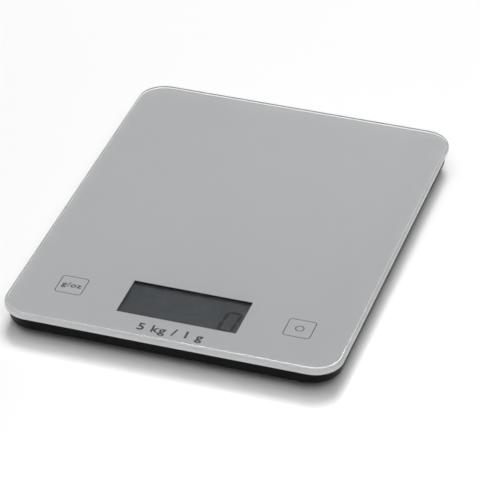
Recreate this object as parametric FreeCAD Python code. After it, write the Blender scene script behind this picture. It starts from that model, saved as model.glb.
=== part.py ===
"""Slim electronic kitchen scale: a glass platform on a black moulded tray with four weighing feet.

Frame: origin on the worktop under the middle of the platform, +Z up, +Y away from the user,
so the display and the touch keys are towards -Y. Millimetres.
"""

import FreeCAD, Part

import math
import os

os.makedirs("parts", exist_ok=True)

V = FreeCAD.Vector
UP = V(0, 0, 1)

# Glass platform and what is printed on its back
PLATE_W = 180.0  # X
PLATE_D = 235.0  # Y
PLATE_CORNER_R = 15.0
GLASS_T = 4.0
GLASS_EDGE_R = 0.9
PRINT_T = 0.1
PRINT_MARGIN = 0.7
TAPE_T = 0.4
TAPE_W = 7.0
TAPE_INSET = 1.4

# Display window and touch keys
WINDOW_W = 64.0
WINDOW_D = 28.5
WINDOW_FROM_FRONT = 19.5
KEY_W = 14.6
KEY_D = 15.2
KEY_CORNER_R = 1.8
KEY_LINE_W = 0.42
KEY_OFFSET_X = 61.3

# Moulded tray
WALL_T = 1.6
BAND_H = 6.0  # height of the side band under the glass
BAND_INSET_TOP = 0.8
BAND_INSET_BOTTOM = 1.6
BAND_CORNER_R = 17.0
BAND_EDGE_R = 1.0
BELLY_INSET = 10.0
BELLY_STEP = 2.5  # how far the belly stands below the band
BELLY_DRAFT = 2.0
BELLY_EDGE_R = 0.8
FOOT_DROP = 2.5  # how far the feet stand below the belly
TRACK_GAP = 3.6  # between the side wall and the rib that carries the tape with it
TRACK_RIB_T = 1.4
TRACK_TIE_PITCH = 24.0
RIB_T = 1.5
RIB_H = 4.9
RIB_OFFSET_X = 24.0
RIB_SHORT = 4.0  # from the cross ribs' ends to the belly's edge
RIB_FROM_BOARD = 3.0
CROSS_RIBS_Y = (20.0, 48.0, 76.0)
POST_D = 9.0
POST_PAD_D = 8.0

# Weighing feet and load cells
FOOT_INSET_X = 28.5
FOOT_INSET_Y = 28.5
FOOT_TRAVEL = 0.4
PAD_CLEAR = 0.2  # left between pad and belly at the end of the travel
PAD_D = 22.0
PAD_GRIP = 0.7
PAD_EDGE_R = 0.5
GROOVE_D = 16.0
GROOVE_W = 1.0
GROOVE_SINK = 0.5
PLUNGER_D = 13.0
PLUNGER_FLANGE_D = 17.0
PLUNGER_FLANGE_T = 0.95
PLUNGER_NOSE_D = 6.0
PLUNGER_CLEAR = 0.3
FLANGE_CLEAR = 1.0
CELL_W = 28.0
CELL_D = 26.0
CELL_T = 1.2
CELL_CORNER_R = 5.0
CELL_SEAT_H = 1.9
CELL_FRAME_W = 4.0
TONGUE_W = 10.0
TONGUE_SLOT = 1.6
SEAT_MARGIN = 1.0
GAUGE_W = 9.0
GAUGE_D = 5.0
GAUGE_T = 1.1
GAUGE_CORNER_R = 1.2
GAUGE_EDGE_R = 0.3
GAUGE_SETBACK = 0.2
RETAINER_T = 1.6
RETAINER_HOLE_CLEAR = 0.3
RETAINER_CORNER_R = 1.0
MOUTH_CLEAR = 0.5
SCREW_BOSS_D = 5.4
BOSS_CLEAR = 0.3
SCREW_D = 2.0
SCREW_HEAD_D = 3.8
SCREW_HEAD_T = 1.2
SCREW_GRIP = 3.4
SCREW_END = 0.4  # from a screw's point to the bottom of its hole or floor
SCREW_SLOT_W = 0.6
SCREW_SLOT_L = 2.3

# Circuit board and display
BOARD_SIDE = 14.0  # board beyond the window, each side
BOARD_FRONT = 6.0
BOARD_BACK = 19.4
BOARD_T = 1.2
BOARD_GAP = 1.4
BOARD_CORNER_R = 1.0
BOARD_SCREW_INSET = 3.4
BOARD_SCREW_X = 20.0  # the two at the back
SCREW_HOLE_CLEAR = 0.4
SCREW_FLOOR = 0.8  # left under a screw hole
LCD_BORDER = 2.2
LCD_LEDGE = 2.6  # contact ledge of the rear glass, towards the user
LCD_T = 1.9
LCD_BELOW_PRINT = 1.7
LCD_FRAME_W = 2.4
LCD_FRAME_LIP = 1.3
LCD_FIT = 0.15
LCD_SIGHT = 0.5  # the frame's opening beyond the window, each side
STRIP_W = 1.6
STRIP_SETBACK = 0.3  # from the ledge's edge
STRIP_SHORT = 4.0  # short of the cell, each end
BLOB_D = 10.0
BLOB_H = 1.3
BLOB_FROM_BACK = 9.0
CONNECTOR_W = 7.0
CONNECTOR_D = 4.4
CONNECTOR_H = 3.2
CHIPS_EACH_SIDE = 4
CHIP_FIRST_X = 8.4
CHIP_PITCH = 3.2
CHIP_FROM_BACK = 10.5
CHIP_L = 1.6
CHIP_W = 0.8
CHIP_H = 0.7
AMPLIFIER_X = 12.5
AMPLIFIER_FROM_BACK = 6.0
AMPLIFIER_W = 3.8
AMPLIFIER_L = 5.0
AMPLIFIER_H = 1.4
AMPLIFIER_STAND = 0.1
LEG_SPAN = 5.8
LEG_W = 0.4
LEG_H = 0.3
LEG_PITCH = 1.27
LEG_ROWS = 4
FILM_T = 0.1
FILM_INSET = 1.0  # inside the key's outline
FILM_CORNER_R = 1.0
FILM_PAST_SPRING = 0.5
SPRING_D = 4.2
SPRING_WIRE = 0.4
SPRING_TURNS = 4
SPRING_FROM_SIDE = 4.0  # in from the board's edge
SPRING_BEHIND_KEY = 3.1
SIDE_LEAD_FROM_BACK = 8.0
BACK_LEAD_X = 32.0

# Coin cell, its bay and cover
COIN_D = 20.0
COIN_H = 3.2
COIN_FIT = 0.4
COIN_EDGE_R = 0.3
BAY_Y = -18.0
COVER_L = 34.0
COVER_W = 25.0
COVER_T = 1.4
COVER_CORNER_R = 1.5
COVER_GAP = 0.3
COVER_TO_COIN = 0.3
HINGE_R = 1.2
HINGE_PIN_D = 1.6
HINGE_PIN_L = 1.4
HINGE_CLEAR = 0.1
LATCH_W = 9.0
LATCH_T = 0.9
LATCH_H = 3.4
LATCH_ROOM = 4.3  # from the cover's end to the coin
LATCH_SETBACK = 0.6
LATCH_BEAD_R = 0.5
LATCH_CLEAR = 0.5
HINGE_ROOM = 0.6
NOTCH_D = 11.0
NOTCH_SINK = 0.9
GRIP_ROWS = 4
GRIP_W = 9.0
GRIP_D = 0.7
GRIP_SINK = 0.35
GRIP_PITCH = 1.6
GRIP_FROM_END = 4.0
CONTACT_T = 0.25
CONTACT_GAP = 1.0
CONTACT_W = 2.6
CONTACT_REACH = 10.0
CONTACT_TIP = 2.0
CONTACT_TAIL_IN = 2.2  # from the coin's rim to the tails
CONTACT_SLOT_CLEAR = 0.3
CONTACT_STAND = 1.2  # how far a contact's tail stands above the bay roof
CONTACT_XS = (-6.0, 0.0)

# Leads
WIRE_D = 0.9
WIRE_PITCH = 1.0
LANE_W = 4.6
FRONT_LEAD_R = 6.0
BACK_LEAD_R = 14.0
BATTERY_LEAD_R = 3.0
BATTERY_LEAD_PAST = 2.0  # beyond the bay before it goes down
BATTERY_LEAD_DROP = 2.5  # from the foot of its slope to the board
BATTERY_LEAD_ON_BOARD = 3.0
WIRE_LIFT = 0.5  # from a cell to its wires' middle

# Underside label
LABEL_W = 58.0
LABEL_D = 34.0
LABEL_Y = 52.0
LABEL_SINK = 0.3
LABEL_T = 0.15
LABEL_CORNER_R = 2.0
LABEL_FIT = 0.4

# Levels, from the worktop up
PAD_H = FOOT_DROP - FOOT_TRAVEL - PAD_CLEAR
Z_BELLY = FOOT_DROP
Z_FLOOR = Z_BELLY + WALL_T
Z_BAND = Z_BELLY + BELLY_STEP
Z_SHELF = Z_BAND + WALL_T
Z_RIM = Z_BAND + BAND_H
Z_PRINT = Z_RIM + TAPE_T
Z_GLASS = Z_PRINT + PRINT_T
Z_TOP = Z_GLASS + GLASS_T
Z_SEAT = Z_FLOOR + CELL_SEAT_H
Z_CELL_TOP = Z_SEAT + CELL_T
Z_BOARD = Z_FLOOR + BOARD_GAP
Z_BOARD_TOP = Z_BOARD + BOARD_T
Z_LCD_TOP = Z_PRINT - LCD_BELOW_PRINT
Z_LCD = Z_LCD_TOP - LCD_T
Z_COVER_TOP = Z_BELLY + COVER_T
Z_COIN = Z_COVER_TOP + COVER_TO_COIN
Z_COIN_TOP = Z_COIN + COIN_H
Z_BAY_ROOF = Z_COIN_TOP + CONTACT_GAP
Z_WIRE = Z_CELL_TOP + WIRE_LIFT

# Places that several pieces share
FRONT = -PLATE_D / 2
WINDOW_Y = FRONT + WINDOW_FROM_FRONT + WINDOW_D / 2
KEY_Y = WINDOW_Y
KEYS = (("left", -1), ("right", 1))
FOOT_X = PLATE_W / 2 - FOOT_INSET_X
FOOT_Y = PLATE_D / 2 - FOOT_INSET_Y
FEET = (
    ("front_left", -1, -1),
    ("front_right", 1, -1),
    ("back_left", -1, 1),
    ("back_right", 1, 1),
)
BOARD_W = WINDOW_W + 2 * BOARD_SIDE
BOARD_Y0 = WINDOW_Y - WINDOW_D / 2 - BOARD_FRONT
BOARD_Y1 = WINDOW_Y + WINDOW_D / 2 + BOARD_BACK
LCD_W = WINDOW_W + 2 * LCD_BORDER
LCD_Y0 = WINDOW_Y - WINDOW_D / 2 - LCD_BORDER
LCD_Y1 = WINDOW_Y + WINDOW_D / 2 + LCD_BORDER
COVER_Y0 = BAY_Y - COVER_L / 2
COVER_Y1 = BAY_Y + COVER_L / 2
COIN_Y = COVER_Y0 + LATCH_ROOM + COIN_D / 2  # towards the latch, clear of the hinge barrel
CONTACT_TAIL_Y = COIN_Y - COIN_D / 2 + CONTACT_TAIL_IN
HINGE_Y = COVER_Y1 - HINGE_R
HINGE_Z = Z_BELLY + HINGE_R
SIDE_LEAD_Y = BOARD_Y1 - SIDE_LEAD_FROM_BACK
SPRING_X = BOARD_W / 2 - SPRING_FROM_SIDE
SPRING_Y = KEY_Y + SPRING_BEHIND_KEY


def save(name, shape):
    """Writes one node's STEP file."""
    shape.exportStep("parts/%s.step" % name)


def block(x0, x1, y0, y1, z0, z1):
    return Part.makeBox(x1 - x0, y1 - y0, z1 - z0, V(x0, y0, z0))


def centred_block(x, y, width, depth, z0, z1):
    return block(x - width / 2, x + width / 2, y - depth / 2, y + depth / 2, z0, z1)


def disc(x, y, diameter, z0, z1):
    return Part.makeCylinder(diameter / 2, z1 - z0, V(x, y, z0))


def rounded_outline(x, y, width, depth, radius, z):
    """A closed rectangle with round corners, in a level plane."""
    hx = width / 2
    hy = depth / 2
    corners = ((hx - radius, -hy + radius, -90), (hx - radius, hy - radius, 0),
               (-hx + radius, hy - radius, 90), (-hx + radius, -hy + radius, 180))
    arcs = []
    for cx, cy, start in corners:
        circle = Part.Circle(V(x + cx, y + cy, z), UP, radius)
        arcs.append(Part.Arc(circle, math.radians(start), math.radians(start + 90)))
    edges = []
    for arc, following in zip(arcs, arcs[1:] + arcs[:1]):
        edges.append(arc.toShape())
        edges.append(Part.LineSegment(arc.EndPoint, following.StartPoint).toShape())
    return Part.Wire(edges)


def slab(x, y, width, depth, radius, z0, z1):
    """A level plate with round corners."""
    face = Part.Face(rounded_outline(x, y, width, depth, radius, z0))
    return face.extrude(V(0, 0, z1 - z0))


def drafted(lower, upper):
    """A solid between two level outlines, each (width, depth, corner radius, z)."""
    wires = [rounded_outline(0, 0, w, d, r, z) for w, d, r, z in (lower, upper)]
    return Part.makeLoft(wires, True, True)


def plate_inset(inset, radius, z):
    """The outline that runs a set distance inside the platform's edge, for drafted()."""
    return (PLATE_W - 2 * inset, PLATE_D - 2 * inset, radius, z)


def frame_ring(x, y, width, depth, radius, band, z0, z1):
    """A rounded rectangular frame whose material is band wide."""
    inner_r = max(radius - band, 0.3)
    outer = slab(x, y, width, depth, radius, z0, z1)
    return outer.cut(slab(x, y, width - 2 * band, depth - 2 * band, inner_r, z0, z1))


def edges_at(shape, z):
    """The edges of a shape that lie wholly in one level plane."""
    return [e for e in shape.Edges if abs(e.BoundBox.ZMin - z) < 1e-6 and abs(e.BoundBox.ZMax - z) < 1e-6]


def foot_centre(sx, sy):
    return sx * FOOT_X, sy * FOOT_Y


def lead_path(points, radius):
    """Straight runs through the points, joined by tangent arcs."""
    edges = []
    at = points[0]
    for before, corner, after in zip(points, points[1:], points[2:]):
        into = (corner - before).normalize()
        out = (after - corner).normalize()
        half_turn = into.getAngle(out) / 2
        setback = radius * math.tan(half_turn)
        start = corner - into * setback
        end = corner + out * setback
        inwards = (out - into).normalize()
        middle = corner + inwards * (radius / math.cos(half_turn) - radius)
        edges.append(Part.LineSegment(at, start).toShape())
        edges.append(Part.Arc(start, middle, end).toShape())
        at = end
    edges.append(Part.LineSegment(at, points[-1]).toShape())
    return Part.Wire(edges)


def wire_along(points, radius):
    """One round insulated wire along a route."""
    path = lead_path(points, radius)
    run = points[1] - points[0]
    section = Part.Wire(Part.Circle(points[0], run, WIRE_D / 2).toShape())
    return path.makePipeShell([section], True, True)


# ---------------------------------------------------------------- platform

def glass_platform():
    glass = slab(0, 0, PLATE_W, PLATE_D, PLATE_CORNER_R, Z_GLASS, Z_TOP)
    return glass.makeFillet(GLASS_EDGE_R, edges_at(glass, Z_TOP) + edges_at(glass, Z_GLASS))


def window_cut(z0, z1):
    return centred_block(0, WINDOW_Y, WINDOW_W, WINDOW_D, z0, z1)


def printed_marks():
    """The printed outline round each touch key."""
    rings = [frame_ring(side * KEY_OFFSET_X, KEY_Y, KEY_W, KEY_D, KEY_CORNER_R, KEY_LINE_W, Z_PRINT, Z_GLASS)
             for _, side in KEYS]
    return Part.Compound(rings)


def silver_print():
    radius = PLATE_CORNER_R - PRINT_MARGIN
    layer = slab(0, 0, PLATE_W - 2 * PRINT_MARGIN, PLATE_D - 2 * PRINT_MARGIN, radius, Z_PRINT, Z_GLASS)
    layer = layer.cut(window_cut(Z_PRINT, Z_GLASS))
    rings = [layer]
    for _, side in KEYS:
        x = side * KEY_OFFSET_X
        whole = slab(x, KEY_Y, KEY_W, KEY_D, KEY_CORNER_R, Z_PRINT, Z_GLASS)
        inner_r = KEY_CORNER_R - KEY_LINE_W
        inside = slab(x, KEY_Y, KEY_W - 2 * KEY_LINE_W, KEY_D - 2 * KEY_LINE_W, inner_r, Z_PRINT, Z_GLASS)
        rings[0] = rings[0].cut(whole)
        rings.append(inside)
    return Part.Compound([rings[0].Solids[0]] + rings[1:])


def adhesive_tape():
    w = PLATE_W - 2 * TAPE_INSET
    d = PLATE_D - 2 * TAPE_INSET
    return frame_ring(0, 0, w, d, BAND_CORNER_R - TAPE_INSET + BAND_INSET_TOP, TAPE_W, Z_RIM, Z_PRINT)


# ---------------------------------------------------------------- tray

def tray_outside():
    foot_r = BAND_CORNER_R - BAND_INSET_BOTTOM + BAND_INSET_TOP
    band = drafted(plate_inset(BAND_INSET_BOTTOM, foot_r, Z_BAND),
                   plate_inset(BAND_INSET_TOP, BAND_CORNER_R, Z_RIM))
    band = band.makeFillet(BAND_EDGE_R, edges_at(band, Z_BAND))
    belly_r = PLATE_CORNER_R
    belly = drafted(plate_inset(BELLY_INSET + BELLY_DRAFT, belly_r - BELLY_DRAFT, Z_BELLY),
                    plate_inset(BELLY_INSET, belly_r, Z_BAND))
    belly = belly.makeFillet(BELLY_EDGE_R, edges_at(belly, Z_BELLY))
    root = slab(0, 0, PLATE_W - 2 * BELLY_INSET, PLATE_D - 2 * BELLY_INSET, belly_r, Z_BAND, Z_SHELF)
    return band.fuse([belly, root])


def tray_inside():
    inset = BAND_INSET_TOP + WALL_T
    upper = drafted(plate_inset(inset + BAND_EDGE_R / 2, BAND_CORNER_R - WALL_T, Z_SHELF),
                    plate_inset(inset, BAND_CORNER_R - WALL_T, Z_RIM))
    belly_r = PLATE_CORNER_R - WALL_T
    lower = drafted(plate_inset(BELLY_INSET + BELLY_DRAFT + WALL_T, belly_r - BELLY_DRAFT, Z_FLOOR),
                    plate_inset(BELLY_INSET + WALL_T, belly_r, Z_SHELF))
    return upper.fuse(lower)


def track_inset():
    return BAND_INSET_TOP + WALL_T + TRACK_GAP


def tape_track():
    """A second rib that follows the side wall, tied to it, so the tape has two lines to sit on."""
    inset = track_inset()
    radius = BAND_CORNER_R - WALL_T - TRACK_GAP
    rib = frame_ring(0, 0, PLATE_W - 2 * inset, PLATE_D - 2 * inset, radius, TRACK_RIB_T, Z_SHELF, Z_RIM)
    ties = []
    reach = TRACK_GAP + WALL_T
    wall = BAND_INSET_TOP + WALL_T / 2
    straight_x = PLATE_W / 2 - BAND_CORNER_R - RIB_T
    straight_y = PLATE_D / 2 - BAND_CORNER_R - RIB_T
    count_x = int(2 * straight_x / TRACK_TIE_PITCH)
    count_y = int(2 * straight_y / TRACK_TIE_PITCH)
    for i in range(count_x + 1):
        x = -straight_x + 2 * straight_x * i / count_x
        for side in (-1, 1):
            y = side * (PLATE_D / 2 - wall - reach / 2)
            ties.append(centred_block(x, y, RIB_T, reach, Z_SHELF - RIB_T / 2, Z_RIM - RIB_T))
    for i in range(count_y + 1):
        y = -straight_y + 2 * straight_y * i / count_y
        for side in (-1, 1):
            x = side * (PLATE_W / 2 - wall - reach / 2)
            ties.append(centred_block(x, y, reach, RIB_T, Z_SHELF - RIB_T / 2, Z_RIM - RIB_T))
    return [rib] + ties


def floor_ribs():
    """Stiffening ribs behind the battery bay, with posts that reach up to the glass."""
    z0 = Z_FLOOR - WALL_T / 2
    z1 = Z_FLOOR + RIB_H
    half = PLATE_W / 2 - BELLY_INSET - RIB_SHORT
    back = FOOT_Y + CELL_D / 2
    ribs = []
    for side in (-1, 1):
        ribs.append(block(side * RIB_OFFSET_X - RIB_T / 2, side * RIB_OFFSET_X + RIB_T / 2,
                          BOARD_Y1 + RIB_FROM_BOARD, back, z0, z1))
    for y in CROSS_RIBS_Y:
        clear_of_cells = y < FOOT_Y - CELL_D
        reach = half if clear_of_cells else RIB_OFFSET_X
        ribs.append(centred_block(0, y, 2 * reach, RIB_T, z0, z1))
        for side in (-1, 1):
            ribs.append(disc(side * RIB_OFFSET_X, y, POST_D, z0, Z_RIM))
    return ribs


def cell_seat(sx, sy):
    """Raised seat under one load cell's rim, with two screw bosses for the retainer."""
    x, y = foot_centre(sx, sy)
    z0 = Z_FLOOR - WALL_T / 2
    seat = centred_block(x, y, CELL_W + 2 * SEAT_MARGIN, CELL_D + 2 * SEAT_MARGIN, z0, Z_SEAT)
    inner_w = CELL_W - 2 * CELL_FRAME_W
    inner_d = CELL_D - 2 * CELL_FRAME_W
    seat = seat.cut(centred_block(x, y, inner_w, inner_d, Z_FLOOR, Z_SEAT))
    return [seat] + [disc(bx, by, SCREW_BOSS_D, z0, Z_CELL_TOP) for bx, by in boss_places(sx, sy)]


def boss_places(sx, sy):
    """The retainer's two screws: beside the cell and beyond it, both towards the tray's wall."""
    x, y = foot_centre(sx, sy)
    reach = SCREW_BOSS_D / 2 + BOSS_CLEAR
    return (x + sx * (CELL_W / 2 + reach), y), (x, y + sy * (CELL_D / 2 + reach))


def board_screw_places():
    half = BOARD_W / 2 - BOARD_SCREW_INSET
    front = BOARD_Y0 + BOARD_SCREW_INSET
    back = BOARD_Y1 - BOARD_SCREW_INSET
    return (-half, front), (half, front), (-BOARD_SCREW_X, back), (BOARD_SCREW_X, back)


def board_bosses():
    return [disc(x, y, SCREW_BOSS_D, Z_FLOOR - WALL_T / 2, Z_BOARD) for x, y in board_screw_places()]


def bay_outer():
    """The battery bay's tub, closed above the coin cell."""
    w = COVER_W + 2 * COVER_GAP + 2 * WALL_T
    d = COVER_L + 2 * COVER_GAP + 2 * WALL_T
    return slab(0, BAY_Y, w, d, COVER_CORNER_R + WALL_T, Z_FLOOR - WALL_T / 2, Z_BAY_ROOF + WALL_T)


def bay_inner():
    """What is hollow in the bay: the cover's recess, the coin pocket, the latch and hinge room."""
    recess = slab(0, BAY_Y, COVER_W + 2 * COVER_GAP, COVER_L + 2 * COVER_GAP,
                  COVER_CORNER_R + COVER_GAP, Z_BELLY, Z_COVER_TOP + 0.1)
    pocket = disc(0, COIN_Y, COIN_D + 2 * COIN_FIT, Z_BELLY, Z_BAY_ROOF)
    latch_x = LATCH_W / 2 + LATCH_CLEAR
    latch_room = block(-latch_x, latch_x, COVER_Y0 - COVER_GAP, COIN_Y - COIN_D / 2 + 2 * LATCH_CLEAR,
                       Z_BELLY, Z_COVER_TOP + LATCH_H + LATCH_CLEAR)
    hinge_x = COVER_W / 2 + COVER_GAP
    hinge_room = block(-hinge_x, hinge_x, HINGE_Y - HINGE_R - HINGE_ROOM,
                       COVER_Y1 + COVER_GAP, Z_BELLY, HINGE_Z + HINGE_R + LATCH_CLEAR)
    return [recess, pocket, latch_room, hinge_room]


def contact_slots():
    """Slots in the bay roof for the tails of the two contacts."""
    width = CONTACT_W + 2 * CONTACT_SLOT_CLEAR
    z1 = Z_BAY_ROOF + WALL_T
    return [centred_block(x, CONTACT_TAIL_Y, width, 3 * CONTACT_T, Z_COIN_TOP, z1) for x in CONTACT_XS]


def hinge_holes():
    reach = COVER_W / 2 + HINGE_PIN_L + HINGE_CLEAR
    radius = HINGE_PIN_D / 2 + HINGE_CLEAR
    return Part.makeCylinder(radius, 2 * reach, V(-reach, HINGE_Y, HINGE_Z), V(1, 0, 0))


def nail_notch():
    """A shallow half-moon beside the latch, for a fingernail."""
    return disc(0, COVER_Y0, NOTCH_D, Z_BELLY, Z_BELLY + NOTCH_SINK)


def label_recess():
    return slab(0, LABEL_Y, LABEL_W + 2 * LABEL_FIT, LABEL_D + 2 * LABEL_FIT, LABEL_CORNER_R + LABEL_FIT,
                Z_BELLY, Z_BELLY + LABEL_SINK)


def lead_lanes():
    """Notches cut in the ribs where the load cells' leads pass over them."""
    cuts = []
    for _, sx, sy in FEET:
        points = cell_lead_route(sx, sy, 0.0)
        for a, b in zip(points, points[1:]):
            run = b - a
            lane = Part.makeBox(run.Length, LANE_W, Z_RIM - Z_WIRE + WIRE_D,
                                V(0, -LANE_W / 2, -WIRE_D / 2))
            lane.rotate(V(0, 0, 0), UP, math.degrees(math.atan2(run.y, run.x)))
            lane.translate(a)
            cuts.append(lane)
    return cuts


def base_tray():
    shell = tray_outside().cut(tray_inside())
    loose_ribs = floor_ribs()
    ribs = loose_ribs[0].fuse(loose_ribs[1:]).cut(lead_lanes())
    raised = tape_track() + board_bosses() + [bay_outer()]
    for _, sx, sy in FEET:
        raised += cell_seat(sx, sy)
    tray = shell.fuse([ribs] + raised).common(tray_outside())
    cuts = bay_inner() + contact_slots() + [hinge_holes(), nail_notch(), label_recess()]
    for x, y in board_screw_places():
        cuts.append(disc(x, y, SCREW_D, Z_BELLY + SCREW_FLOOR, Z_BOARD))
    for _, sx, sy in FEET:
        x, y = foot_centre(sx, sy)
        cuts.append(disc(x, y, PLUNGER_D + 2 * PLUNGER_CLEAR, Z_BELLY, Z_FLOOR))
        cuts.append(disc(x, y, PLUNGER_FLANGE_D + 2 * FLANGE_CLEAR, Z_FLOOR, Z_SEAT))
        for bx, by in boss_places(sx, sy):
            cuts.append(disc(bx, by, SCREW_D, Z_CELL_TOP - SCREW_GRIP + RETAINER_T, Z_CELL_TOP))
    return tray.cut(cuts).removeSplitter()


# ---------------------------------------------------------------- circuit board and display

def circuit_board():
    depth = BOARD_Y1 - BOARD_Y0
    board = slab(0, (BOARD_Y0 + BOARD_Y1) / 2, BOARD_W, depth, BOARD_CORNER_R, Z_BOARD, Z_BOARD_TOP)
    holes = [disc(x, y, SCREW_D + SCREW_HOLE_CLEAR, Z_BOARD, Z_BOARD_TOP) for x, y in board_screw_places()]
    return board.cut(holes)


def screw(x, y, z_under_head, grip):
    """A small pan-head screw, point down."""
    head = disc(x, y, SCREW_HEAD_D, z_under_head, z_under_head + SCREW_HEAD_T)
    head = head.makeFillet(SCREW_HEAD_T / 2, edges_at(head, z_under_head + SCREW_HEAD_T))
    z0 = z_under_head + SCREW_HEAD_T / 2
    z1 = z_under_head + SCREW_HEAD_T
    slot = centred_block(x, y, SCREW_SLOT_L, SCREW_SLOT_W, z0, z1)
    cross = centred_block(x, y, SCREW_SLOT_W, SCREW_SLOT_L, z0, z1)
    shank = disc(x, y, SCREW_D, z_under_head - grip, z_under_head)
    return head.fuse(shank).cut([slot, cross])


def board_screws():
    grip = BOARD_T + BOARD_GAP + SCREW_END
    return Part.Compound([screw(x, y, Z_BOARD_TOP, grip) for x, y in board_screw_places()])


def lcd_cell():
    """Two bonded glasses: the rear one stands out towards the user as the contact ledge."""
    half_t = LCD_T / 2
    rear = block(-LCD_W / 2, LCD_W / 2, LCD_Y0 - LCD_LEDGE + LCD_BORDER, LCD_Y1, Z_LCD, Z_LCD + half_t)
    front = block(-LCD_W / 2, LCD_W / 2, LCD_Y0 + LCD_BORDER / 2, LCD_Y1, Z_LCD + half_t, Z_LCD_TOP)
    return rear.fuse(front).removeSplitter()


def contact_strip():
    y = LCD_Y0 - LCD_LEDGE + LCD_BORDER + STRIP_W / 2 + STRIP_SETBACK
    return centred_block(0, y, LCD_W - 2 * STRIP_SHORT, STRIP_W, Z_BOARD_TOP, Z_LCD)


def lcd_frame():
    """Black frame that holds the display cell down on the contact strip."""
    y0 = LCD_Y0 - LCD_LEDGE + LCD_BORDER
    depth = LCD_Y1 - y0
    y = (y0 + LCD_Y1) / 2
    top = Z_LCD_TOP + LCD_FRAME_LIP
    body = slab(0, y, LCD_W + 2 * LCD_FRAME_W, depth + 2 * LCD_FRAME_W, 1.0, Z_BOARD_TOP, top)
    nest = centred_block(0, y, LCD_W + 2 * LCD_FIT, depth + 2 * LCD_FIT, Z_BOARD_TOP, Z_LCD_TOP)
    opening = centred_block(0, WINDOW_Y, WINDOW_W + 2 * LCD_SIGHT, WINDOW_D + 2 * LCD_SIGHT, Z_LCD_TOP, top)
    return body.cut([nest, opening])


def processor_drop():
    """Drop of black resin over the bare chip."""
    radius = (BLOB_D ** 2 / 4 + BLOB_H ** 2) / (2 * BLOB_H)
    y = BOARD_Y1 - BLOB_FROM_BACK
    ball = Part.makeSphere(radius, V(0, y, Z_BOARD_TOP + BLOB_H - radius))
    return ball.common(centred_block(0, y, BLOB_D + 1, BLOB_D + 1, Z_BOARD_TOP, Z_BOARD_TOP + BLOB_H))


def board_parts():
    """Small capacitors and resistors soldered along the back of the board."""
    chips = []
    for side in (-1, 1):
        for i in range(CHIPS_EACH_SIDE):
            x = side * (CHIP_FIRST_X + CHIP_PITCH * i)
            chips.append(centred_block(x, BOARD_Y1 - CHIP_FROM_BACK, CHIP_L, CHIP_W, Z_BOARD_TOP,
                                       Z_BOARD_TOP + CHIP_H))
    return Part.Compound(chips)


def amplifier_chip():
    """The load-cell amplifier: a flat moulded package with its row of legs each side."""
    x = AMPLIFIER_X
    y = BOARD_Y1 - AMPLIFIER_FROM_BACK
    z0 = Z_BOARD_TOP + AMPLIFIER_STAND
    body = centred_block(x, y, AMPLIFIER_W, AMPLIFIER_L, z0, z0 + AMPLIFIER_H)
    legs = []
    for i in range(LEG_ROWS):
        leg_y = y + LEG_PITCH * (i - (LEG_ROWS - 1) / 2)
        legs.append(centred_block(x, leg_y, LEG_SPAN, LEG_W, Z_BOARD_TOP, Z_BOARD_TOP + LEG_H))
    return body.fuse(legs)


def lead_connectors():
    """Four plug housings on the board: two open to the sides, two open to the back."""
    z1 = Z_BOARD_TOP + CONNECTOR_H
    housings = []
    for side in (-1, 1):
        x_out = side * (BOARD_W / 2 - CONNECTOR_D / 2)
        housings.append(centred_block(x_out, SIDE_LEAD_Y, CONNECTOR_D, CONNECTOR_W, Z_BOARD_TOP, z1))
        housings.append(centred_block(side * BACK_LEAD_X, BOARD_Y1 - CONNECTOR_D / 2, CONNECTOR_W,
                                      CONNECTOR_D, Z_BOARD_TOP, z1))
    return Part.Compound(housings)


def touch_film(side):
    """Copper film on the back of the print: a pad under the key and a tail to its spring."""
    z0 = Z_PRINT - FILM_T
    pad = slab(side * KEY_OFFSET_X, KEY_Y, KEY_W - 2 * FILM_INSET, KEY_D - 2 * FILM_INSET, FILM_CORNER_R,
               z0, Z_PRINT)
    inner = side * (SPRING_X - SPRING_D / 2 - FILM_PAST_SPRING)
    outer = side * KEY_OFFSET_X
    tail_d = SPRING_D + 2 * FILM_PAST_SPRING
    tail = centred_block((inner + outer) / 2, SPRING_Y, abs(outer - inner), tail_d, z0, Z_PRINT)
    return pad.fuse(tail).removeSplitter()


def touch_spring(side):
    """Coil spring standing on the board that carries the film's signal, wound in half turns."""
    radius = (SPRING_D - SPRING_WIRE) / 2
    z_low = Z_BOARD_TOP + SPRING_WIRE / 2
    z_high = Z_PRINT - FILM_T - SPRING_WIRE / 2
    rise = (z_high - z_low) / (2 * SPRING_TURNS)
    halves = []
    for i in range(2 * SPRING_TURNS):
        hand = 1 if i % 2 == 0 else -1
        start = V(side * SPRING_X + hand * radius, SPRING_Y, z_low + rise * i)
        end = V(side * SPRING_X - hand * radius, SPRING_Y, z_low + rise * (i + 1))
        axis = V(0, hand, 0).cross(end - start).normalize()
        section = Part.Face(Part.Wire(Part.Circle(start, V(0, 1, 0), SPRING_WIRE / 2).toShape()))
        halves.append(section.revolve((start + end) * 0.5, axis, 180))
    return halves[0].fuse(halves[1:])


# ---------------------------------------------------------------- load cells and feet

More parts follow.
